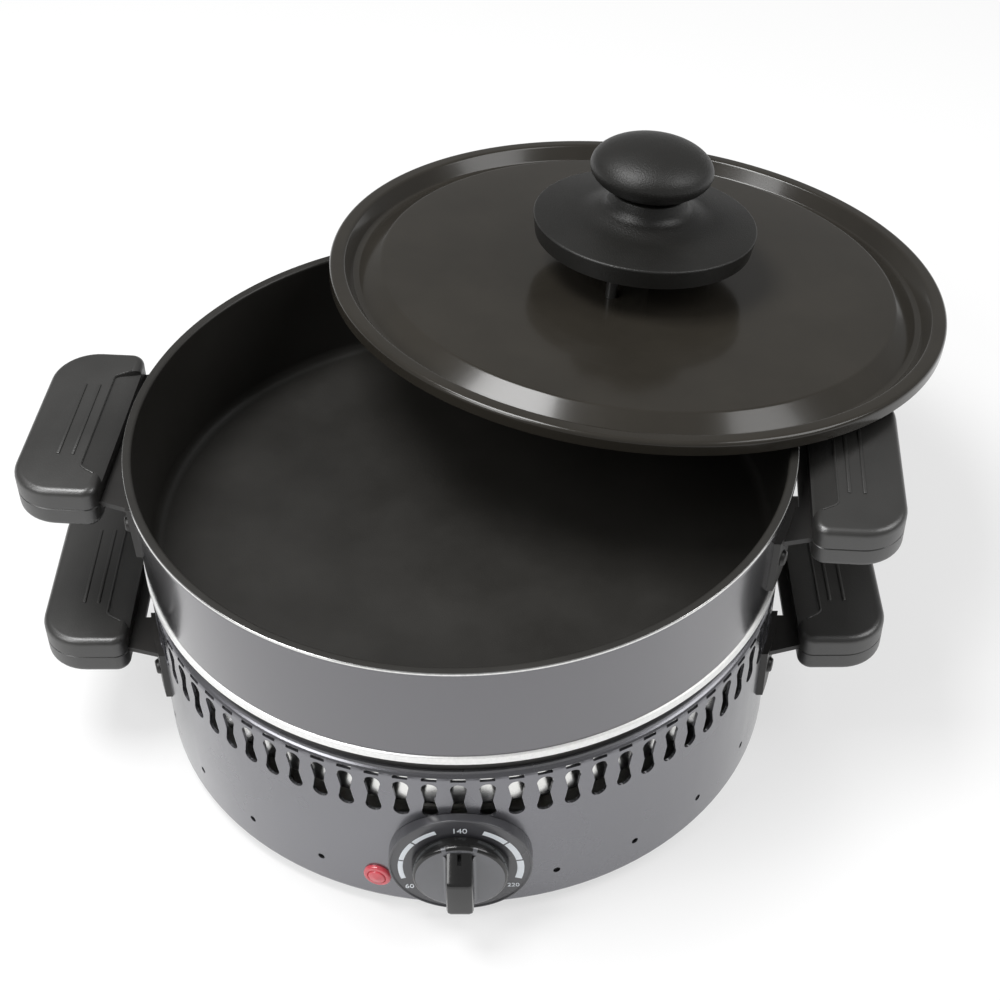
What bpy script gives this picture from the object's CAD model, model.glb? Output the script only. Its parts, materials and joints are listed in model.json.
"""Electric chestnut roaster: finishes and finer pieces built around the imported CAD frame."""

import json
import math

import bmesh
import bpy
from bpy.props import FloatProperty, FloatVectorProperty, IntProperty, PointerProperty
from mathutils import Matrix, Vector

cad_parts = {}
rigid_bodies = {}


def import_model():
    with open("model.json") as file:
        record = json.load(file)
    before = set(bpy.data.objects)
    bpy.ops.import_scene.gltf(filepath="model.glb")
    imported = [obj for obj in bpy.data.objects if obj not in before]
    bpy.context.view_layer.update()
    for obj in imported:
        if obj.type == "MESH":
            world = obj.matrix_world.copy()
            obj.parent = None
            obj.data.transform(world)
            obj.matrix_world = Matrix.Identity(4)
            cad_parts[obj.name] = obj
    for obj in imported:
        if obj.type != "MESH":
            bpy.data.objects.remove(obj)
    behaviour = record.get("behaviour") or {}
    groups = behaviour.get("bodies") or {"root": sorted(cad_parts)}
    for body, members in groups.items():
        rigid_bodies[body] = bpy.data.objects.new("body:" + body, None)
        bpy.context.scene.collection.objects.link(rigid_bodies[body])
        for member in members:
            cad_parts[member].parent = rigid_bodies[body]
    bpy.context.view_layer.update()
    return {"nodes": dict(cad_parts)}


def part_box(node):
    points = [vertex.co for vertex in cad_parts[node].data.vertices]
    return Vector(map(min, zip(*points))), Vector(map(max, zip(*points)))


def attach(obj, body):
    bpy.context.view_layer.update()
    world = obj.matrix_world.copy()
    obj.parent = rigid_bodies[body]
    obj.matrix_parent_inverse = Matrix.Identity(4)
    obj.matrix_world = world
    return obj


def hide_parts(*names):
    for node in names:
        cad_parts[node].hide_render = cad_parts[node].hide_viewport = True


bl_info = {
    "name": "Chestnut Roaster",
    "version": (1, 0, 0),
    "blender": (4, 5, 0),
    "location": "View3D > Sidebar > Roaster",
    "description": "Dresses the roaster's CAD frame with its finishes, mouldings and dial marks",
    "category": "Object",
}

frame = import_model()
NODES = frame["nodes"]

DRUM_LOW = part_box("base_shell")[0]
RING_LOW, RING_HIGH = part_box("support_ring")
PAN_LOW, PAN_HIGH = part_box("pan_shell")
BEZEL_LOW, BEZEL_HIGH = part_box("dial_bezel")
KNOB_LOW, KNOB_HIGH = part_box("control_knob")

# Lengths are written in millimetres, apart from the stage
MM = 0.001

# Stands a plan upright: its x runs along Y, its y upwards and its height along X
UPRIGHT = Matrix(((0, 0, 1, 0), (1, 0, 0, 0), (0, 1, 0, 0), (0, 0, 0, 1)))

# Steps round the turned pieces and cutters that have no property
KNOB_STEPS, HOLE_STEPS, SOCKET_STEPS, DRUM_STEPS = 128, 32, 48, 360

# Angles in degrees above which an edge stays sharp, and above which it is bevelled
TURNED_CREASE, MOULDED_CREASE = 35.0, 30.0
BEVEL_CREASE = 48.0


def length(name, default, description):
    """A length property; its default is given in millimetres and kept in metres."""
    return FloatProperty(name=name, description=description, default=default * MM, precision=5, unit="LENGTH")


def angle(name, default, description):
    """An angle property; its default is given in degrees and kept in radians."""
    return FloatProperty(name=name, description=description, default=math.radians(default), subtype="ANGLE")


def tint(name, default, description):
    """A colour property in linear RGB."""
    return FloatVectorProperty(
        name=name, description=description, default=default, size=3, min=0.0, max=1.0, subtype="COLOR"
    )


class RoasterSizes(bpy.types.PropertyGroup):
    """Sizes and places of the pieces that are modelled here."""

    lathe_steps: IntProperty(
        name="Lathe steps", description="Steps round each large turned piece", default=192, min=24, max=512
    )
    pan_radius: length("Pan radius", 140.0, "Outer radius of the pan's rim")
    pan_turn: angle("Pan turn", -4.6, "Angle by which the pan is turned on the base")
    lid_radius: length("Lid radius", 142.0, "Outer radius of the lid's lip")
    lid_off: length("Lid offset", 136.0, "Distance of the lid's centre from the pan's centre")
    lid_turn: angle("Lid direction", 54.0, "Direction in which the lid lies across the rim")
    lid_tilt: angle("Lid tilt", 7.949, "Tilt of the lid as it lies on the rim")
    lid_z: length("Lid height", 149.64, "Height of the middle of the lid's lip")
    shield_radius: length("Shield radius", 51.0, "Outer radius of the heat shield under the lid's knob")
    knob_radius: length("Lid knob radius", 27.7, "Outer radius of the lid's mushroom knob")
    grip_x: length("Grip distance", 145.0, "Distance of a grip's inner edge from the drum's axis")
    grip_edge: length("Grip edge", 3.2, "Edge radius of a grip")
    dial_radius: length("Dial knob radius", 19.5, "Outer radius of the dial's knob")
    bar_width: length("Dial bar width", 10.8, "Width of the grip bar on the dial's knob")
    bar_fillet: length("Dial bar fillet", 1.8, "Radius of the hollow rounds beside the grip bar")


class RoasterColours(bpy.types.PropertyGroup):
    """Colours of the finishes."""

    drum: tint("Drum", (0.189, 0.189, 0.205), "Metallic grey of the drum")
    pan: tint("Pan outside", (0.150, 0.148, 0.158), "Metallic grey of the pan's outside")
    coating: tint("Pan coating", (0.018, 0.017, 0.015), "Black non-stick coating in the pan")
    lid: tint("Lid", (0.0245, 0.0218, 0.0175), "Black enamel of the lid")
    grip: tint("Grips", (0.0185, 0.0180, 0.0168), "Moulded black of the grips")
    knob: tint("Lid knob", (0.0108, 0.0105, 0.0095), "Moulded black of the lid knob and its shield")
    bezel: tint("Bezel", (0.062, 0.062, 0.068), "Glossy dark grey of the dial's bezel")
    dial: tint("Dial", (0.011, 0.011, 0.011), "Glossy black of the dial's knob")
    cheek: tint("Knob cheeks", (0.115, 0.117, 0.128), "Grey of the flats beside the knob's grip bar")
    lamp: tint("Lamp", (0.54, 0.065, 0.085), "Red of the pilot lamp")
    floor: tint("Floor", (0.90, 0.90, 0.90), "Pale studio floor")


# Plans and profiles


def rounded(points, steps=6):
    """Path of (x, y, radius) points with its corners turned into arcs."""
    path = []
    for i, (x, y, radius) in enumerate(points):
        here = Vector((x, y))
        if radius <= 0 or i in (0, len(points) - 1):
            path.append((x, y))
            continue
        before = (Vector(points[i - 1][:2]) - here).normalized()
        after = (Vector(points[i + 1][:2]) - here).normalized()
        half = before.angle(after) / 2
        middle = here + (before + after).normalized() * (radius / math.sin(half))
        start = here + before * (radius / math.tan(half)) - middle
        end = here + after * (radius / math.tan(half)) - middle
        turn = math.atan2(start.x * end.y - start.y * end.x, start.dot(end))
        for k in range(steps + 1):
            spot = Matrix.Rotation(turn * k / steps, 2) @ start + middle
            path.append((spot.x, spot.y))
    return path


def inset(path, depth):
    """The path moved to its left by a depth."""
    moved = []
    for i, point in enumerate(path):
        ahead = Vector(path[min(i + 1, len(path) - 1)])
        behind = Vector(path[max(i - 1, 0)])
        way = (ahead - behind).normalized()
        moved.append((point[0] - way.y * depth, point[1] + way.x * depth))
    return moved


def sheet_loop(path, thickness):
    """Closed section of a pressed sheet that follows a path."""
    return path + inset(path, thickness)[::-1]


def rod(radius, low, high):
    """Profile of a plain cylinder."""
    return [(0, low), (radius, low), (radius, high), (0, high)]


def rectangle(left, near, right, far):
    """Plan of a plain rectangle."""
    return [(left, near), (right, near), (right, far), (left, far)]


def s_curve(start, end, steps=10):
    """Points of a soft step from one plan point to another."""
    points = []
    for k in range(steps + 1):
        t = k / steps
        rise = t * t * (3 - 2 * t)
        points.append((start[0] + (end[0] - start[0]) * rise, start[1] + (end[1] - start[1]) * t))
    return points


# Meshes


def link_object(name, data):
    """A new object in the scene."""
    piece = bpy.data.objects.new(name, data)
    bpy.context.scene.collection.objects.link(piece)
    return piece


def new_piece(name, mesh, finishes, body, slot, *replaced, place=None):
    """Links a mesh as a piece that rides on a body and stands for CAD nodes.

    A mesh that several pieces share takes its finishes once.
    """
    piece = link_object(name, mesh)
    if place:
        piece.matrix_world = place
    if len(mesh.materials) == 0:
        for finish in finishes:
            mesh.materials.append(FINISHES[finish])
    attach(piece, body)
    if replaced:
        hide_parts(*replaced)


def fix_normals(mesh):
    """Turns the faces outwards."""
    work = bmesh.new()
    work.from_mesh(mesh)
    bmesh.ops.recalc_face_normals(work, faces=work.faces)
    work.to_mesh(mesh)
    work.free()


def smooth(mesh, crease=MOULDED_CREASE):
    """Smooth shading that keeps the edges above an angle sharp."""
    mesh.shade_smooth()
    mesh.set_sharp_from_angle(angle=math.radians(crease))
    return mesh


def weld(mesh, gap=0.002):
    """Joins corners that lie on each other."""
    work = bmesh.new()
    work.from_mesh(mesh)
    bmesh.ops.remove_doubles(work, verts=work.verts, dist=gap * MM)
    bmesh.ops.dissolve_degenerate(work, edges=work.edges, dist=gap * MM / 2)
    work.to_mesh(mesh)
    work.free()
    return mesh


def join_meshes(name, meshes):
    """One mesh made of several."""
    work = bmesh.new()
    for mesh in meshes:
        work.from_mesh(mesh)
        bpy.data.meshes.remove(mesh)
    made = bpy.data.meshes.new(name)
    work.to_mesh(made)
    work.free()
    return made


def lathe(name, profile, steps, place=None, picks=None):
    """Mesh turned from (radius, height) points, a loop or a path that starts and ends on the axis.

    The step that leads up to a point has the finish that the point picks.
    """
    picks = picks or [0] * len(profile)
    verts, rings = [], []
    for radius, height in profile:
        on_axis = radius < 1e-4
        count = 1 if on_axis else steps
        rings.append(list(range(len(verts), len(verts) + count)))
        for k in range(count):
            turn = math.tau * k / steps
            reach = 0.0 if on_axis else radius * MM
            verts.append((reach * math.cos(turn), reach * math.sin(turn), height * MM))
    faces, indices = [], []
    for i, high in enumerate(rings):
        low = rings[i - 1]
        if len(low) == 1 and len(high) == 1:
            continue
        for k in range(steps):
            n = (k + 1) % steps
            if len(low) == 1:
                face = (low[0], high[n], high[k])
            elif len(high) == 1:
                face = (low[k], low[n], high[0])
            else:
                face = (low[k], low[n], high[n], high[k])
            faces.append(face)
            indices.append(picks[i])
    mesh = bpy.data.meshes.new(name)
    mesh.from_pydata(verts, [], faces)
    mesh.polygons.foreach_set("material_index", indices)
    if place:
        mesh.transform(place)
    mesh.validate()
    fix_normals(mesh)
    return smooth(mesh, TURNED_CREASE)


def prism(name, plan, low, high, place=None):
    """Closed mesh over a flat plan; low and high are heights or functions of (x, y)."""
    count = len(plan)
    verts = []
    for level in (low, high):
        for x, y in plan:
            z = level(x, y) if callable(level) else level
            verts.append((x * MM, y * MM, z * MM))
    faces = [tuple(range(count))[::-1], tuple(range(count, 2 * count))]
    faces += [(i, (i + 1) % count, count + (i + 1) % count, count + i) for i in range(count)]
    mesh = bpy.data.meshes.new(name)
    mesh.from_pydata(verts, [], faces)
    if place:
        mesh.transform(place)
    fix_normals(mesh)
    return mesh


def evaluated_mesh(piece):
    """The mesh of a working object with its modifiers applied; the object itself is removed."""
    bpy.context.view_layer.update()
    graph = bpy.context.evaluated_depsgraph_get()
    mesh = bpy.data.meshes.new_from_object(piece.evaluated_get(graph))
    name = piece.data.name
    bpy.data.batch_remove([piece, piece.data])
    mesh.name = name
    return mesh


def combine(mesh, tools, operation):
    """The mesh with others cut from it or joined to it."""
    piece = link_object(mesh.name, mesh)
    others = [link_object(tool.name, tool) for tool in tools]
    for other in others:
        step = piece.modifiers.new("combine", "BOOLEAN")
        step.operation, step.solver, step.object = operation, "EXACT", other
    made = evaluated_mesh(piece)
    bpy.data.batch_remove(others + tools)
    return made


def soften(mesh, width):
    """The mesh with a bevel on its sharp edges."""
    piece = link_object(mesh.name, mesh)
    step = piece.modifiers.new("soften", "BEVEL")
    step.width, step.segments, step.limit_method = width * MM, 2, "ANGLE"
    step.angle_limit = math.radians(BEVEL_CREASE)
    return evaluated_mesh(piece)


# Finishes

# Most of a noise lies between these two values
NOISE_LOW, NOISE_HIGH = 0.3, 0.7

# Share of white in the floor's look, and the distances in metres over which it fades
FLOOR_GLOW, FADE_START, FADE_END = 0.6, 3.0, 14.0


def new_finish(name, values):
    """A node material, its tree and its surface shader with some sockets set."""
    finish = bpy.data.materials.new(name)
    finish.use_nodes = True
    shader = finish.node_tree.nodes["Principled BSDF"]
    set_sockets(shader, values)
    return finish, finish.node_tree, shader


def set_sockets(node, values):
    """Sets a node's input sockets by name."""
    for name, value in values.items():
        node.inputs[name].default_value = value


def add_noise(tree, scale, detail, rough):
    """Noise in object space."""
    coords = tree.nodes.new("ShaderNodeTexCoord")
    noise = tree.nodes.new("ShaderNodeTexNoise")
    set_sockets(noise, {"Scale": scale, "Detail": detail, "Roughness": rough})
    tree.links.new(coords.outputs["Object"], noise.inputs["Vector"])
    return noise.outputs["Fac"]


def add_range(tree, value, low, high, start=NOISE_LOW, stop=NOISE_HIGH):
    """Value mapped from start and stop to low and high."""
    node = tree.nodes.new("ShaderNodeMapRange")
    set_sockets(node, {"From Min": start, "From Max": stop, "To Min": low, "To Max": high})
    tree.links.new(value, node.inputs["Value"])
    return node.outputs["Result"]


def add_math(tree, operation, first, second):
    """Result of an operation on two values."""
    node = tree.nodes.new("ShaderNodeMath")
    node.operation = operation
    tree.links.new(first, node.inputs[0])
    tree.links.new(second, node.inputs[1])
    return node.outputs["Value"]


def add_bump(tree, shader, height, strength, distance):
    """Bump from a height value."""
    bump = tree.nodes.new("ShaderNodeBump")
    set_sockets(bump, {"Strength": strength, "Distance": distance})
    tree.links.new(height, bump.inputs["Height"])
    tree.links.new(bump.outputs["Normal"], shader.inputs["Normal"])


def shade(colour, factor):
    """A colour made lighter or darker."""
    return tuple(min(1.0, c * factor) for c in colour)


def vary_colour(tree, shader, value, colour, spread, start=NOISE_LOW, stop=NOISE_HIGH):
    """Surface colour that a value makes a little darker and lighter."""
    node = tree.nodes.new("ShaderNodeValToRGB")
    for element, spot, factor in zip(node.color_ramp.elements, (start, stop), (1 - spread, 1 + spread)):
        element.position = spot
        element.color = (*shade(colour, factor), 1.0)
    tree.links.new(value, node.inputs["Fac"])
    tree.links.new(node.outputs["Color"], shader.inputs["Base Color"])


def vary_roughness(tree, shader, value, rough, spread):
    """Surface roughness that a value makes a little lower and higher."""
    varied = add_range(tree, value, rough * (1 - spread), rough * (1 + spread))
    tree.links.new(varied, shader.inputs["Roughness"])


def metal_finish(name, colour, rough, fleck=900.0, spread=0.10, metallic=1.0, coat=0.0, bump=0.03):
    """Metal or metallic paint with flecks, cloudy roughness and a faint surface ripple."""
    sockets = {"Metallic": metallic, "Coat Weight": coat, "Coat Roughness": 0.12}
    finish, tree, shader = new_finish(name, sockets)
    flecks = add_noise(tree, fleck, detail=2.0, rough=0.6)
    vary_colour(tree, shader, flecks, colour, spread)
    clouds = add_noise(tree, 18.0, detail=4.0, rough=0.55)
    vary_roughness(tree, shader, clouds, rough, spread=0.15)
    add_bump(tree, shader, flecks, bump, distance=0.4 * MM)
    return finish


def moulded_finish(name, colour, rough, grain=1400.0, bump=0.25, spec=0.5, coat=0.0):
    """Moulded plastic, rubber or enamel with a fine grain and uneven sheen."""
    sockets = {"Specular IOR Level": spec, "Coat Weight": coat, "Coat Roughness": 0.08}
    finish, tree, shader = new_finish(name, sockets)
    clouds = add_noise(tree, 22.0, detail=4.0, rough=0.6)
    vary_colour(tree, shader, clouds, colour, spread=0.12)
    vary_roughness(tree, shader, clouds, rough, spread=0.12)
    fine = add_noise(tree, grain, detail=2.0, rough=0.5)
    add_bump(tree, shader, fine, bump, distance=0.3 * MM)
    return finish


def lamp_finish(name, colour):
    """Clear red moulding with a soft inner glow."""
    finish, tree, shader = new_finish(name, {
        "Roughness": 0.18, "Coat Weight": 0.6, "Subsurface Weight": 0.25,
        "Subsurface Radius": (3 * MM, 1 * MM, 1 * MM),
        "Emission Color": (*colour, 1.0), "Emission Strength": 0.12,
    })
    clouds = add_noise(tree, 300.0, detail=2.0, rough=0.5)
    vary_colour(tree, shader, clouds, colour, spread=0.1)
    add_bump(tree, shader, clouds, strength=0.05, distance=0.2 * MM)
    return finish


def floor_finish(name, colour):
    """Pale floor, near white to the camera and in mirrors, that keeps the shadow and fades far off."""
    finish, tree, shader = new_finish(name, {"Roughness": 0.9})
    clouds = add_noise(tree, 1.5, detail=2.0, rough=0.5)
    vary_colour(tree, shader, clouds, colour, spread=0.01, start=0.0, stop=1.0)
    paths = tree.nodes.new("ShaderNodeLightPath")
    seen = paths.outputs["Is Camera Ray"]
    for ray in ("Is Glossy Ray", "Is Transmission Ray"):
        seen = add_math(tree, "MAXIMUM", seen, paths.outputs[ray])
    spot = tree.nodes.new("ShaderNodeNewGeometry")
    away = tree.nodes.new("ShaderNodeVectorMath")
    away.operation = "LENGTH"
    tree.links.new(spot.outputs["Position"], away.inputs[0])
    fade = add_range(tree, away.outputs["Value"], FLOOR_GLOW, 0.0, FADE_START, FADE_END)
    glow = tree.nodes.new("ShaderNodeEmission")
    set_sockets(glow, {"Color": (1, 1, 1, 1)})
    mix = tree.nodes.new("ShaderNodeMixShader")
    tree.links.new(add_math(tree, "MULTIPLY", seen, fade), mix.inputs["Fac"])
    tree.links.new(shader.outputs["BSDF"], mix.inputs[1])
    tree.links.new(glow.outputs["Emission"], mix.inputs[2])
    tree.links.new(mix.outputs["Shader"], tree.nodes["Material Output"].inputs["Surface"])
    return finish


def metals(colours):
    """Finishes of the metal pieces, by name."""
    paint = {"fleck": 1100.0, "spread": 0.03, "coat": 0.5}
    return {
        "drum": metal_finish("drum_metallic_grey", colours.drum, 0.26, metallic=0.85, bump=0.008, **paint),
        "pan": metal_finish("pan_metallic_grey", colours.pan, 0.2, metallic=0.9, bump=0.006, **paint),
        "edge": metal_finish("machined_edge", (0.75, 0.75, 0.74), 0.25),
        "lip": metal_finish("satin_lip", (0.90, 0.90, 0.89), 0.42, fleck=700.0, spread=0.05, metallic=0.55),
        "bright": metal_finish(
            "bright_reflector", (0.80, 0.80, 0.78), 0.22, fleck=60.0, spread=0.06, bump=0.08
        ),
        "zinc": metal_finish("zinc_plate", (0.60, 0.60, 0.58), 0.38, fleck=400.0, spread=0.12),
        "screw": metal_finish("plated_screw", (0.70, 0.70, 0.69), 0.25, fleck=700.0, spread=0.08),
        "brass": metal_finish("brass", (0.72, 0.56, 0.26), 0.3, fleck=500.0),
        "copper": metal_finish("copper", (0.72, 0.40, 0.24), 0.3, fleck=500.0),
        "sheath": metal_finish(
            "heater_sheath", (0.22, 0.20, 0.19), 0.5, fleck=250.0, spread=0.2, metallic=0.8
        ),
    }


def mouldings(colours):
    """Finishes of the moulded, enamelled, coated and printed pieces, by name."""
    gloss = {"grain": 900.0, "bump": 0.03}
    return {
        "coating": moulded_finish(
            "nonstick_coating", colours.coating, 0.42, grain=1800.0, bump=0.18, spec=0.45
        ),
        "lid": moulded_finish("lid_enamel", colours.lid, 0.17, grain=500.0, bump=0.006, spec=0.36, coat=0.16),
        "black_steel": moulded_finish("black_bracket", (0.016, 0.015, 0.014), 0.4, grain=900.0, bump=0.08),
        "grip": moulded_finish("grip_moulding", colours.grip, 0.36, grain=1500.0, bump=0.22, spec=1.0),
        "knob": moulded_finish("knob_moulding", colours.knob, 0.42, grain=1500.0, bump=0.55, spec=0.42),
        "bezel": moulded_finish("bezel_moulding", colours.bezel, 0.26, coat=0.3, **gloss),
        "dial": moulded_finish("dial_moulding", colours.dial, 0.2, spec=0.45, coat=0.3, **gloss),
        "cheek": moulded_finish("knob_cheeks", colours.cheek, 0.22, coat=0.4, **gloss),
        "print": moulded_finish("dial_print", (0.80, 0.84, 0.88), 0.45, grain=900.0, bump=0.02),
        "rubber": moulded_finish("foot_rubber", (0.03, 0.03, 0.03), 0.75, grain=700.0, bump=0.4),
        "ceramic": moulded_finish("white_ceramic", (0.80, 0.78, 0.73), 0.6, grain=600.0, bump=0.2),
        "plastic": moulded_finish("white_plastic", (0.78, 0.77, 0.73), 0.45, grain=900.0, bump=0.1),
        "brown": moulded_finish("brown_insulation", (0.25, 0.12, 0.05), 0.5),
        "blue": moulded_finish("blue_insulation", (0.06, 0.14, 0.42), 0.5),
        "green": moulded_finish("green_insulation", (0.20, 0.38, 0.06), 0.5),
        "lamp": lamp_finish("red_lens", colours.lamp),
    }


# Filled by the first operator, and used by those after it
FINISHES = {}

# The CAD nodes that stay, by finish
CAD_FINISHES = {
    "drum": ["base_shell"],
    "bright": ["reflector_dish"],
    "zinc": ["base_plate", "element_clips", "thermostat_bracket", "bulb_clip", "fuse_clip", "knob_spacer"],
    "screw": [
        "foot_screws", "base_plate_screws", "ring_screws", "thermostat_screws", "thermostat_shaft",
        "knob_spring", "base_handle_screws", "pan_handle_screws", "lid_knob_screw",
    ],
    "brass": ["element_terminals", "earth_stud"],
    "copper": ["sensor_bulb"],
    "sheath": ["heating_element"],
    "black_steel": [
        "base_bracket_left", "base_bracket_right", "pan_bracket_left", "pan_bracket_right", "base_rivets",
        "pan_rivets",
    ],
    "grip": ["shield_pins"],
    "rubber": [
        "foot_front_left", "foot_front_right", "foot_rear_left", "foot_rear_right", "cord_gland",
        "wire_switched", "wire_fuse",
    ],
    "ceramic": ["element_bushes", "thermostat_body", "thermal_fuse"],
    "plastic": ["lamp_body", "terminal_block", "wire_lamp"],
    "brown": ["wire_live"],
    "blue": ["wire_neutral"],
    "green": ["wire_earth"],
    "lamp": ["lamp_lens"],
}


class ROASTER_OT_finishes(bpy.types.Operator):
    """Make the finishes and put them on the CAD nodes that stay"""

    bl_idname = "roaster.finishes"
    bl_label = "Finishes"

    def execute(self, context):
        colours = context.scene.roaster_colours
        FINISHES.update(metals(colours))
        FINISHES.update(mouldings(colours))
        for finish, names in CAD_FINISHES.items():
            for name in names:
                slots = NODES[name].data.materials
                slots.clear()
                slots.append(FINISHES[finish])
        return {"FINISHED"}


# Support ring and pan

RING_INNER, RING_OUTER = 124.6, 133.6


class ROASTER_OT_support_ring(bpy.types.Operator):
    """Turn the black ring that carries the pan, with recesses for its screws"""

    bl_idname = "roaster.support_ring"
    bl_label = "Support Ring"

    def execute(self, context):
        low, top = RING_LOW.z / MM, RING_HIGH.z / MM
        wall, thick, edge = 1.2, 4.0, 0.5
        skirt, flange = RING_INNER + wall, top - thick
        profile = rounded([
            (RING_INNER, low, 0), (skirt, low, 0), (skirt, flange, 0), (RING_OUTER, flange, 0),
            (RING_OUTER, top, edge), (RING_INNER, top, edge), (RING_INNER, low, 0),
        ])[:-1]
        screw, hole, head, deep = 129.4, 1.6, 2.7, 2.2
        seat, below, above = top - deep, low - 1, top + 1
        section = [(0, below), (hole, below), (hole, seat), (head, seat), (head, above), (0, above)]
        recesses = []
        for turn in (45, 135, 225, 315):
            place = Matrix.Rotation(math.radians(turn), 4, "Z") @ Matrix.Translation((screw * MM, 0, 0))
            recesses.append(lathe("screw_recess", section, HOLE_STEPS, place))
        ring = lathe("ring_turning", profile, context.scene.roaster_sizes.lathe_steps)
        mesh = smooth(weld(combine(ring, recesses, "DIFFERENCE")))
        new_piece("ring_turning", mesh, ["black_steel"], "base", "black_steel", "support_ring")
        return {"FINISHED"}


class ROASTER_OT_pan(bpy.types.Operator):
    """Turn the pan with its bare foot band, metallic outside, coated inside and rounded rim"""

    bl_idname = "roaster.pan"
    bl_label = "Pan"

    def execute(self, context):
        sizes = context.scene.roaster_sizes
        outer, rim = sizes.pan_radius / MM, PAN_HIGH.z / MM
        seat, step_low = RING_HIGH.z / MM, PAN_LOW.z / MM
        ring_gap = 1.2
        step = RING_INNER - ring_gap
        under, band, groove = outer - 7.5, outer - 1.9, outer - 2.75
        wall_foot, wall_top = outer - 2.5, outer - 0.9
        mouth, floor_edge, floor = outer - 4.0, outer - 5.8, seat + 3.0
        lip, band_top, wall_low = seat + 3.6, seat + 8.1, seat + 8.9
        roll_low, roll_top, roll_in = rim - 3.2, rim - 0.9, outer - 0.4
        tuck, seam = band - 0.65, 0.1
        foot = rounded([
            (0, step_low, 0), (step, step_low, 0.6), (step, seat, 0), (under, seat, 4), (tuck, lip, 0),
        ])
        bare = rounded([
            (tuck + seam, lip + seam / 2, 0), (band, lip + 0.6, 0.5), (band, band_top - 0.4, 0.35),
            (groove, band_top, 0),
        ])
        side = rounded([
            (groove, band_top + seam, 0), (groove, wall_low - 0.3, 0.1), (wall_foot, wall_low, 0.15),
            (wall_top, roll_low, 0.3), (outer - 0.05, roll_low + 0.6, 0.3), (outer, roll_top, 0),
        ])
        edge = rounded([(outer, roll_top + seam, 0), (outer - 0.15, rim - 0.25, 0.3), (roll_in, rim, 0)], 3)
        inside = rounded([
            (roll_in - 2 * seam, rim, 0), (mouth, rim, 1.3), (mouth, rim - 3.0, 1), (floor_edge, floor, 5),
            (0, floor, 0),
        ])
        profile, picks = [], []
        for k, part in enumerate((foot, bare, side, edge, inside)):
            profile += part
            picks += [k] * len(part)
        mesh = lathe("pan_vessel", profile, sizes.lathe_steps, picks=picks)
        finishes = ["zinc", "lip", "pan", "edge", "coating"]
        new_piece("pan_vessel", mesh, finishes, "pan", "pan_coating", "pan_shell")
        return {"FINISHED"}


# Lid and its knob, with heights above the lid's lip

KNOB_SEAT, KNOB_SCREW = 40.4, 2.7


def lid_place(sizes):
    """Matrix from the lid's own axis to where it lies on the pan."""
    return (
        Matrix.Rotation(sizes.lid_turn, 4, "Z")
        @ Matrix.Translation((sizes.lid_off, 0, sizes.lid_z))
        @ Matrix.Rotation(sizes.lid_tilt, 4, "Y")
    )


class ROASTER_OT_lid(bpy.types.Operator):
    """Press the lid: hem, lip, channel, slope and plateau"""

    bl_idname = "roaster.lid"
    bl_label = "Lid"

    def execute(self, context):
        sizes = context.scene.roaster_sizes
        outer, sheet = sizes.lid_radius / MM, 1.2
        hem, channel, drop, crown = 6.0, 7.0, 0.5, 2.0
        lip_wide, flank_wide, channel_wide, slope_wide = 6.6, 4.4, 2.5, 10.0
        flank = outer - lip_wide
        channel_out = flank - flank_wide
        channel_in = channel_out - channel_wide
        plateau = channel_in - slope_wide
        boss_foot, boss_top, boss_high, bend = 15.0, 11.0, 6.5, 1.5
        dome, steps = [], 12
        for k in range(1, steps + 1):
            radius = plateau + (boss_foot - plateau) * k / steps
            height = crown * (1 - (radius / plateau) ** 2) - drop
            dome.append((radius, height, bend if k == steps else 0))
        path = rounded([
            (outer, -hem, 0), (outer, 0.0, 2.0), (flank, 0.0, 2.0), (channel_out, -channel, 1.6),
            (channel_in, -channel, 2.0), (plateau, -drop, 3.0), *dome, (boss_top, boss_high, bend),
            (KNOB_SCREW, boss_high, 0),
        ], 8)
        mesh = lathe("lid_pressing", sheet_loop(path, sheet), sizes.lathe_steps, lid_place(sizes))
        new_piece("lid_pressing", mesh, ["lid"], "lid", "lid_enamel", "lid_shell")
        return {"FINISHED"}


class ROASTER_OT_knob_shield(bpy.types.Operator):
    """Turn the heat shield that sits under the lid's knob"""

    bl_idname = "roaster.knob_shield"
    bl_label = "Knob Shield"

    def execute(self, context):
        sizes = context.scene.roaster_sizes
        outer, low, band, taper = sizes.shield_radius / MM, 18.0, 9.0, 1.5
        slope, slope_top = 28.0, 29.68
        waist, waist_top, neck = 18.5, 33.7, 17.0
        thick, edge = 2.2, 0.9

        def section(corner):
            return rounded([
                (outer - taper, low, 0), (outer, low + band, corner), (slope, slope_top, 25.0),
                (waist, waist_top, 6.0), (neck, KNOB_SEAT, 1.0), (KNOB_SCREW, KNOB_SEAT, 0),
            ], 10)

        profile = section(edge) + inset(section(thick + 0.5), thick)[::-1]
        mesh = lathe("shield_moulding", profile, sizes.lathe_steps, lid_place(sizes))
        new_piece("shield_moulding", mesh, ["knob"], "lid", "knob_plastic", "knob_shield")
        return {"FINISHED"}


class ROASTER_OT_lid_knob(bpy.types.Operator):
    """Turn the lid's mushroom knob"""

    bl_idname = "roaster.lid_knob"
    bl_label = "Lid Knob"

    def execute(self, context):
        sizes = context.scene.roaster_sizes
        wide, high, flat, steps = sizes.knob_radius / MM, 12.6, 1.0, 48
        middle = KNOB_SEAT + high - flat
        low = -math.asin((high - flat) / high)
        profile = [(0, KNOB_SEAT)]
        for k in range(steps):
            turn = low + (math.pi / 2 - low) * k / steps
            profile.append((wide * math.cos(turn), middle + high * math.sin(turn)))
        profile.append((0, middle + high))
        mesh = lathe("mushroom_knob", profile, KNOB_STEPS, lid_place(sizes))
        new_piece("mushroom_knob", mesh, ["knob"], "lid", "knob_plastic", "lid_knob")
        return {"FINISHED"}


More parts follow.
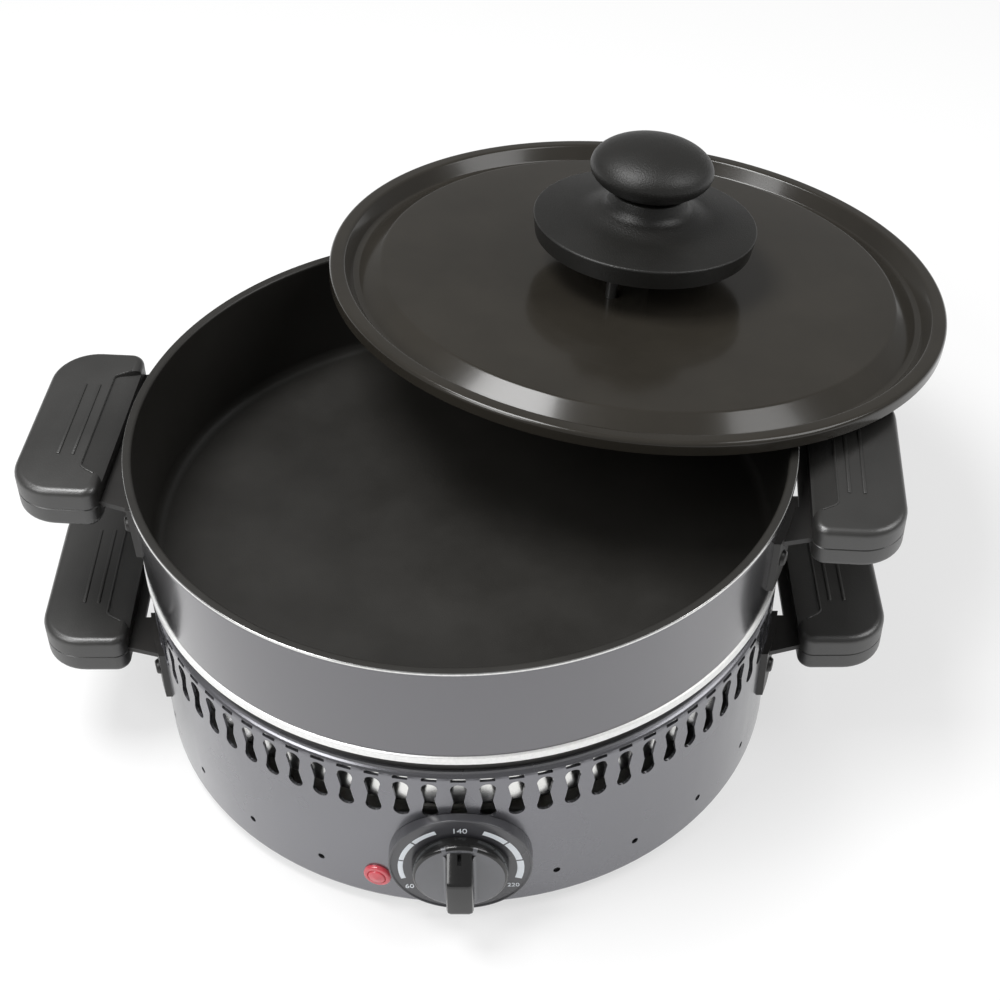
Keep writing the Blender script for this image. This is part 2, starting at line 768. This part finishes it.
# Grips, with x from the inner edge outwards, y from the middle and z from the parting line

GRIP_LONG, GRIP_WIDE, GRIP_HIGH = 47.0, 38.0, 9.5
OUTER_CORNER, INNER_CORNER = 19.0, 6.0
PARTING_CHAMFER = 0.35
PLATE_OUT, PLATE_LONG, PLATE_ROOM = 25.2, 42.2, 1.3
SCREW_X, SCREW_Y = 14.5, 33.0
SCREW_BORE, SCREW_HEAD, HEAD_SUNK, SCREW_DEEP = 2.0, 3.7, 3.4, 5.5
SCOOP_WIDE, SCOOP_FLAT, SCOOP_LONG = 9.6, 28.5, 37.0
SCOOP_STEP, SCOOP_DEEP = 0.7, 3.4
BEAD_IN, BEAD_OUT, BEAD_HIGH, BEAD_END = 0.15, 1.05, 0.35, 2.4
RIB_SPOTS = (14.9, 21.1)
RIB_LONG, RIB_HIGH, RIB_HALF, RIB_SLANT = 23.3, 0.55, 0.7, 0.3
RAISED_SUNK, RAISED_EDGE, CUT_EDGE = 0.6, 0.3, 0.45
CUT_BEYOND = 2.0


def grip_plan(drawn_in, steps=12):
    """Plan of a grip, drawn in by a distance: small corners at the pan, large ones outside."""
    corners = (
        (GRIP_WIDE - OUTER_CORNER, GRIP_LONG - OUTER_CORNER, OUTER_CORNER, 0),
        (INNER_CORNER, GRIP_LONG - INNER_CORNER, INNER_CORNER, 90),
        (INNER_CORNER, INNER_CORNER - GRIP_LONG, INNER_CORNER, 180),
        (GRIP_WIDE - OUTER_CORNER, OUTER_CORNER - GRIP_LONG, OUTER_CORNER, 270),
    )
    plan = []
    for x, y, radius, start in corners:
        for k in range(steps + 1):
            turn = math.radians(start + 90 * k / steps)
            plan.append((x + (radius - drawn_in) * math.cos(turn), y + (radius - drawn_in) * math.sin(turn)))
    return plan


def grip_half(name, edge, steps=8):
    """One half of a grip: flat at the parting line, rounded at its outer edge."""
    levels = [(PARTING_CHAMFER, 0.0), (0.0, PARTING_CHAMFER)]
    for k in range(steps + 1):
        turn = math.radians(90 * k / steps)
        levels.append((edge * (1 - math.cos(turn)), GRIP_HIGH - edge + edge * math.sin(turn)))
    verts, count = [], 0
    for drawn_in, z in levels:
        plan = grip_plan(drawn_in)
        count = len(plan)
        verts += [(x * MM, y * MM, z * MM) for x, y in plan]
    faces = [tuple(range(count))[::-1], tuple(range(len(verts) - count, len(verts)))]
    for row in range(len(levels) - 1):
        for i in range(count):
            n = (i + 1) % count
            faces.append((row * count + i, row * count + n, (row + 1) * count + n, (row + 1) * count + i))
    mesh = bpy.data.meshes.new(name)
    mesh.from_pydata(verts, [], faces)
    fix_normals(mesh)
    return mesh


def plate_pocket():
    """Room for the bracket plate between the halves."""
    plan = rectangle(-CUT_BEYOND, -PLATE_LONG, PLATE_OUT, PLATE_LONG)
    return prism("plate_pocket", plan, -PLATE_ROOM, PLATE_ROOM)


def screw_cuts(name, radius, low, high):
    """Round cutters at both grip screws."""
    cuts = []
    for side in (-1, 1):
        place = Matrix.Translation((SCREW_X * MM, side * SCREW_Y * MM, 0))
        cuts.append(lathe(name, rod(radius, low, high), HOLE_STEPS, place))
    return cuts


def scoop_border():
    """Plan of the scoop's border, from one end of the grip's inner edge to the other."""
    run_out = 0.5
    far = s_curve((SCOOP_WIDE, SCOOP_FLAT), (-run_out, SCOOP_LONG))
    return [(x, -y) for x, y in far[::-1]] + far


def scoop_cut(border):
    """Cutter with a sloping floor that is deepest at the grip's inner edge."""
    plan = [(-CUT_BEYOND, -SCOOP_LONG)] + border + [(-CUT_BEYOND, SCOOP_LONG)]

    def slope(x, _):
        return GRIP_HIGH - SCOOP_STEP - (SCOOP_DEEP - SCOOP_STEP) * (SCOOP_WIDE - x) / SCOOP_WIDE

    return prism("scoop", plan, slope, GRIP_HIGH + CUT_BEYOND)


def scoop_bead(border):
    """Low bead along the part of the scoop's border that lies on the grip's flat top."""
    line = [point for point in border if point[0] > BEAD_END]
    band = inset(line, -BEAD_IN) + inset(line, -BEAD_OUT)[::-1]
    return soften(prism("bead", band, GRIP_HIGH - RAISED_SUNK, GRIP_HIGH + BEAD_HIGH), RAISED_EDGE)


def grip_rib(x):
    """Straight rib along the grip."""
    end = RIB_LONG + RIB_SLANT
    plan = [(-end, -RAISED_SUNK), (-RIB_LONG, RIB_HIGH), (RIB_LONG, RIB_HIGH), (end, -RAISED_SUNK)]
    place = Matrix.Translation((x * MM, 0, GRIP_HIGH * MM)) @ UPRIGHT
    return soften(prism("rib", plan, -RIB_HALF, RIB_HALF, place), RAISED_EDGE)


def upper_grip(edge):
    """Upper half with a sloping scoop along its inner edge, a bead round the scoop and two ribs."""
    border = scoop_border()
    cuts = [scoop_cut(border), plate_pocket(), *screw_cuts("screw_cut", SCREW_BORE, -CUT_BEYOND, SCREW_DEEP)]
    mesh = combine(grip_half("grip_upper_half", edge), cuts, "DIFFERENCE")
    raised = [scoop_bead(border), *[grip_rib(x) for x in RIB_SPOTS]]
    return combine(soften(mesh, CUT_EDGE), raised, "UNION")


def lower_grip(edge):
    """Lower half, upside down, with sunk places for its two screws."""
    beyond = GRIP_HIGH + CUT_BEYOND
    cuts = screw_cuts("screw_cut", SCREW_BORE, -CUT_BEYOND, beyond)
    cuts += screw_cuts("head_cut", SCREW_HEAD, GRIP_HIGH - HEAD_SUNK, beyond)
    mesh = combine(grip_half("grip_lower_half", edge), [plate_pocket(), *cuts], "DIFFERENCE")
    mesh.transform(Matrix.Scale(-1, 4, (0, 0, 1)))
    fix_normals(mesh)
    return mesh


class ROASTER_OT_grips(bpy.types.Operator):
    """Mould the eight grip halves of the pan and the base"""

    bl_idname = "roaster.grips"
    bl_label = "Grips"

    def execute(self, context):
        sizes = context.scene.roaster_sizes
        edge = sizes.grip_edge / MM
        halves = {"upper": smooth(weld(upper_grip(edge))), "lower": smooth(weld(lower_grip(edge)))}
        for body, turn in (("pan", sizes.pan_turn), ("base", 0.0)):
            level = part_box(f"{body}_grip_upper_right")[0].z
            for side, start in (("right", 0.0), ("left", math.pi)):
                place = Matrix.Rotation(turn + start, 4, "Z") @ Matrix.Translation((sizes.grip_x, 0, level))
                for half, mesh in halves.items():
                    name = f"{body}_grip_{half}_{side}"
                    new_piece(name + "_moulding", mesh, ["grip"], body, "grip_plastic", name, place=place)
        return {"FINISHED"}


# Dial, with z outwards from the drum's front

DIAL_FACE = 3.2


def dial_place():
    """Matrix from the dial's own axis to the drum's front."""
    middle = (BEZEL_LOW.z + BEZEL_HIGH.z) / 2
    return Matrix.Translation((0, DRUM_LOW.y, middle)) @ Matrix.Rotation(math.radians(90), 4, "X")


def drum_cutter():
    """Drum-sized cylinder that shapes the back of the bezel."""
    gap, low, high = 0.15, -20, 120
    return lathe("drum_cutter", rod(gap - DRUM_LOW.y / MM, low, high), DRUM_STEPS)


class ROASTER_OT_bezel(bpy.types.Operator):
    """Turn the dial's bezel with its soft rim, and shape its back to the drum"""

    bl_idname = "roaster.bezel"
    bl_label = "Dial Bezel"

    def execute(self, context):
        place = dial_place()
        outer, hole, back = (BEZEL_HIGH.x - BEZEL_LOW.x) / 2 / MM, 4.0, -5
        rim, rim_in, face_edge = DIAL_FACE + 0.6, outer - 0.8, outer - 1.2
        profile = rounded([
            (hole, back, 0), (outer, back, 0), (outer, rim, 0.5), (rim_in, rim, 0.3),
            (face_edge, DIAL_FACE, 0.3), (hole, DIAL_FACE, 0),
        ])
        screw, head, head_back, head_front = 19.0, 3.0, -9, 1.4
        cutters = [drum_cutter()]
        for x in (-screw, screw):
            spot = place @ Matrix.Translation((x * MM, 0, 0))
            cutters.append(lathe("screw_seat", rod(head, head_back, head_front), HOLE_STEPS, spot))
        bezel = lathe("bezel_moulding", profile, KNOB_STEPS, place)
        mesh = smooth(weld(combine(bezel, cutters, "DIFFERENCE")))
        new_piece("bezel_moulding", mesh, ["bezel"], "base", "gloss_black", "dial_bezel")
        return {"FINISHED"}


def grip_bar(half, low, skirt, top, foot):
    """Bar across the dial's knob, with slanted ends and soft edges."""
    flat, bend, edge = 9.3, 3.0, 1.7
    side = rounded([
        (0, low, 0), (foot, low, 0), (foot, skirt, 0), (flat, top, bend), (-flat, top, bend),
        (-foot, skirt, 0), (-foot, low, 0), (0, low, 0),
    ])[:-1]
    return soften(prism("bar", side, -half, half, UPRIGHT), edge)


def bar_fillets(half, level, radius):
    """Hollow rounds along both feet of the knob's bar, where it meets the cheeks."""
    sunk, under, reach, steps = 0.04, 0.4, 14.6, 8
    pair = []
    for side in (-1, 1):
        plan = [(half - under, level - under), (half + radius, level - under)]
        for k in range(steps + 1):
            turn = math.radians(270 - 90 * k / steps)
            x = half + radius - sunk + radius * math.cos(turn)
            plan.append((x, level + radius - sunk + radius * math.sin(turn)))
        plan.append((half - under, level + radius - sunk))
        place = Matrix(((side, 0, 0, 0), (0, 0, 1, 0), (0, 1, 0, 0), (0, 0, 0, 1)))
        pair.append(prism("bar_fillet", plan, -reach, reach, place))
    return pair


def on_cheek(face, half, level, fillet):
    """Whether a face of the knob lies on a flat beside the bar or on a fillet at the bar's foot."""
    slack, flat_gap, slanting, upward = 0.01, 0.05, 0.05, 0.98
    across, away = abs(face.center.x / MM), abs(face.center.z / MM - level)
    if half - slack < across < half + fillet and face.normal.z > slanting:
        return away < fillet
    return away < flat_gap and face.normal.z > upward


class ROASTER_OT_dial_knob(bpy.types.Operator):
    """Make the dial's knob: a skirt with grey cheeks, a grip bar with its fillets, a notch and a socket"""

    bl_idname = "roaster.dial_knob"
    bl_label = "Dial Knob"

    def execute(self, context):
        sizes = context.scene.roaster_sizes
        radius, half, fillet = sizes.dial_radius / MM, sizes.bar_width / MM / 2, sizes.bar_fillet / MM
        low, top = (DRUM_LOW.y - KNOB_HIGH.y) / MM, (DRUM_LOW.y - KNOB_LOW.y) / MM
        high, draft, edge, back_edge = 6.0, 0.5, 1.6, 0.6
        skirt, neck = low + high, radius - draft
        profile = rounded([(0, low, 0), (radius, low, back_edge), (neck, skirt, edge), (0, skirt, 0)])
        knob = lathe("knob_moulding", profile, KNOB_STEPS)
        bar_sunk, bar_in = 5.0, 3.0
        bar = grip_bar(half, skirt - bar_sunk, skirt, top, radius - bar_in)
        knob = combine(knob, [bar, *bar_fillets(half, skirt, fillet)], "UNION")
        notch_half, notch_in, notch_out, notch_low = 0.8, 13.8, 18.0, skirt + 0.4
        notch = prism("notch", rectangle(-notch_half, notch_in, notch_half, notch_out), notch_low, top)
        bore, bore_end = 3.15, 15.6
        socket = lathe("socket", rod(bore, low - 2, bore_end), SOCKET_STEPS)
        knob = combine(knob, [notch, socket], "DIFFERENCE")
        for face in knob.polygons:
            face.material_index = int(on_cheek(face, half, skirt, fillet))
        knob.transform(dial_place())
        mesh = smooth(weld(knob))
        new_piece("knob_moulding", mesh, ["dial", "cheek"], "control_dial", "gloss_black", "control_knob")
        return {"FINISHED"}


# Dial print: arcs as angles from the top, and numbers with their heights and places

PRINT_HALF = 0.1
SCALE_ARCS = ((80, 107), (51, 78), (23, 49))
SCALE_DROP, SCALE_NARROWING = 1.6, 0.2
LEFT_BAND, RIGHT_BAND = (23.2, 25.2), (22.8, 25.6)
NUMBERS = (("60", 2.6, -20.9, -14.2), ("140", 2.9, 0.0, 21.6), ("220", 2.3, 21.2, -13.4))

# Height of a figure as a share of the font's size
FIGURE_SHARE = 0.69


def arc_band(start, stop, inner, outer, steps=14):
    """Printed arc between two angles from the top, clockwise, in degrees."""
    turns = [math.radians(90 - start - (stop - start) * k / steps) for k in range(steps + 1)]
    plan = [(outer * math.cos(t), outer * math.sin(t) - SCALE_DROP) for t in turns]
    plan += [(inner * math.cos(t), inner * math.sin(t) - SCALE_DROP) for t in turns[::-1]]
    return prism("arc", plan, DIAL_FACE - PRINT_HALF, DIAL_FACE + PRINT_HALF)


def number_mesh(text, height, x, y):
    """Upright printed number centred on a point of the dial face."""
    curve = bpy.data.curves.new("number", "FONT")
    curve.body = text
    curve.align_x, curve.align_y = "CENTER", "CENTER"
    curve.size = height / FIGURE_SHARE * MM
    curve.extrude = PRINT_HALF * MM
    curve.resolution_u = 4
    mesh = evaluated_mesh(link_object("number", curve))
    mesh.transform(Matrix.Translation((x * MM, y * MM, DIAL_FACE * MM)))
    return weld(mesh, 0.004)


class ROASTER_OT_dial_print(bpy.types.Operator):
    """Print the heat scale on the dial: widening arcs and plain numbers"""

    bl_idname = "roaster.dial_print"
    bl_label = "Dial Print"

    def execute(self, context):
        marks = []
        for k, (start, stop) in enumerate(SCALE_ARCS):
            marks.append(arc_band(-stop, -start, *LEFT_BAND))
            marks.append(arc_band(start, stop, RIGHT_BAND[0], RIGHT_BAND[1] - SCALE_NARROWING * k))
        marks += [number_mesh(*number) for number in NUMBERS]
        mesh = join_meshes("dial_marks", marks)
        mesh.transform(dial_place())
        fix_normals(mesh)
        new_piece("dial_marks", mesh, ["print"], "base", "white_plastic")
        return {"FINISHED"}


# Stage, in metres, degrees and watts

CAMERA_LENS, CAMERA_SENSOR = 64.8, 36.0
CAMERA_SPOT = (0.02015, -0.57716, 0.62864)
CAMERA_TURN = (47.883, 0.352, 0.091)
CAMERA_NEAR, CAMERA_FAR = 0.05, 50.0
FLOOR_REACH = 16.0
WORLD_LIGHT = 0.27
LIGHT_TARGET = Vector((0, 0, 0.1))

# Place, width, height and power of each soft light
SOFTBOXES = {
    "left_softbox": (Vector((-1.05, -0.65, 1.2)), 0.75, 0.75, 11.0),
    "top_softbox": (Vector((-0.5, 0.02, 1.55)), 0.75, 0.6, 20.0),
    "right_softbox": (Vector((1.15, -0.1, 1.2)), 0.75, 0.95, 9.0),
}


def add_camera():
    """Camera at the photograph's viewing angle."""
    lens = bpy.data.cameras.new("photo_camera")
    lens.lens, lens.sensor_width = CAMERA_LENS, CAMERA_SENSOR
    lens.clip_start, lens.clip_end = CAMERA_NEAR, CAMERA_FAR
    camera = link_object("photo_camera", lens)
    camera.location = CAMERA_SPOT
    camera.rotation_euler = [math.radians(turn) for turn in CAMERA_TURN]
    bpy.context.scene.camera = camera


def add_floor(colour):
    """Wide pale floor under the object."""
    mesh = bpy.data.meshes.new("studio_floor")
    corners = rectangle(-FLOOR_REACH, -FLOOR_REACH, FLOOR_REACH, FLOOR_REACH)
    mesh.from_pydata([(x, y, 0) for x, y in corners], [], [(0, 1, 2, 3)])
    mesh.materials.append(floor_finish("studio_floor", colour))
    floor = link_object("studio_floor", mesh)


def add_softbox(name, spot, wide, high, power):
    """Rectangular soft light aimed at the object."""
    light = bpy.data.lights.new(name, "AREA")
    light.shape = "RECTANGLE"
    light.size, light.size_y, light.energy = wide, high, power
    lamp = link_object(name, light)
    lamp.location = spot
    lamp.rotation_euler = (LIGHT_TARGET - spot).to_track_quat("-Z", "Y").to_euler()


class ROASTER_OT_stage(bpy.types.Operator):
    """Set the camera, the pale floor, the soft lights and the world"""

    bl_idname = "roaster.stage"
    bl_label = "Stage"

    def execute(self, context):
        scene = context.scene
        scene.view_settings.view_transform = "Standard"
        add_camera()
        add_floor(scene.roaster_colours.floor)
        for name, softbox in SOFTBOXES.items():
            add_softbox(name, *softbox)
        scene.world = bpy.data.worlds.new("studio")
        scene.world.use_nodes = True
        set_sockets(
            scene.world.node_tree.nodes["Background"],
            {"Color": (1.0, 1.0, 1.0, 1.0), "Strength": WORLD_LIGHT},
        )
        return {"FINISHED"}


# Add-on

OPERATORS = (
    ROASTER_OT_finishes,
    ROASTER_OT_support_ring,
    ROASTER_OT_pan,
    ROASTER_OT_lid,
    ROASTER_OT_knob_shield,
    ROASTER_OT_lid_knob,
    ROASTER_OT_grips,
    ROASTER_OT_bezel,
    ROASTER_OT_dial_knob,
    ROASTER_OT_dial_print,
    ROASTER_OT_stage,
)


class ROASTER_PT_sidebar(bpy.types.Panel):
    """Lists the roaster's operators, sizes and colours"""

    bl_label = "Roaster"
    bl_idname = "ROASTER_PT_sidebar"
    bl_space_type = "VIEW_3D"
    bl_region_type = "UI"
    bl_category = "Roaster"

    def draw(self, context):
        for operator in OPERATORS:
            self.layout.operator(operator.bl_idname)
        for group in (context.scene.roaster_sizes, context.scene.roaster_colours):
            for name in group.__annotations__:
                self.layout.prop(group, name)


CLASSES = (RoasterSizes, RoasterColours, *OPERATORS, ROASTER_PT_sidebar)


def register():
    for cls in CLASSES:
        bpy.utils.register_class(cls)
    bpy.types.Scene.roaster_sizes = PointerProperty(type=RoasterSizes)
    bpy.types.Scene.roaster_colours = PointerProperty(type=RoasterColours)


def unregister():
    del bpy.types.Scene.roaster_colours
    del bpy.types.Scene.roaster_sizes
    for cls in reversed(CLASSES):
        bpy.utils.unregister_class(cls)


def main():
    register()
    for operator in OPERATORS:
        group, name = operator.bl_idname.split(".")
        getattr(getattr(bpy.ops, group), name)()


if __name__ == "__main__":
    main()
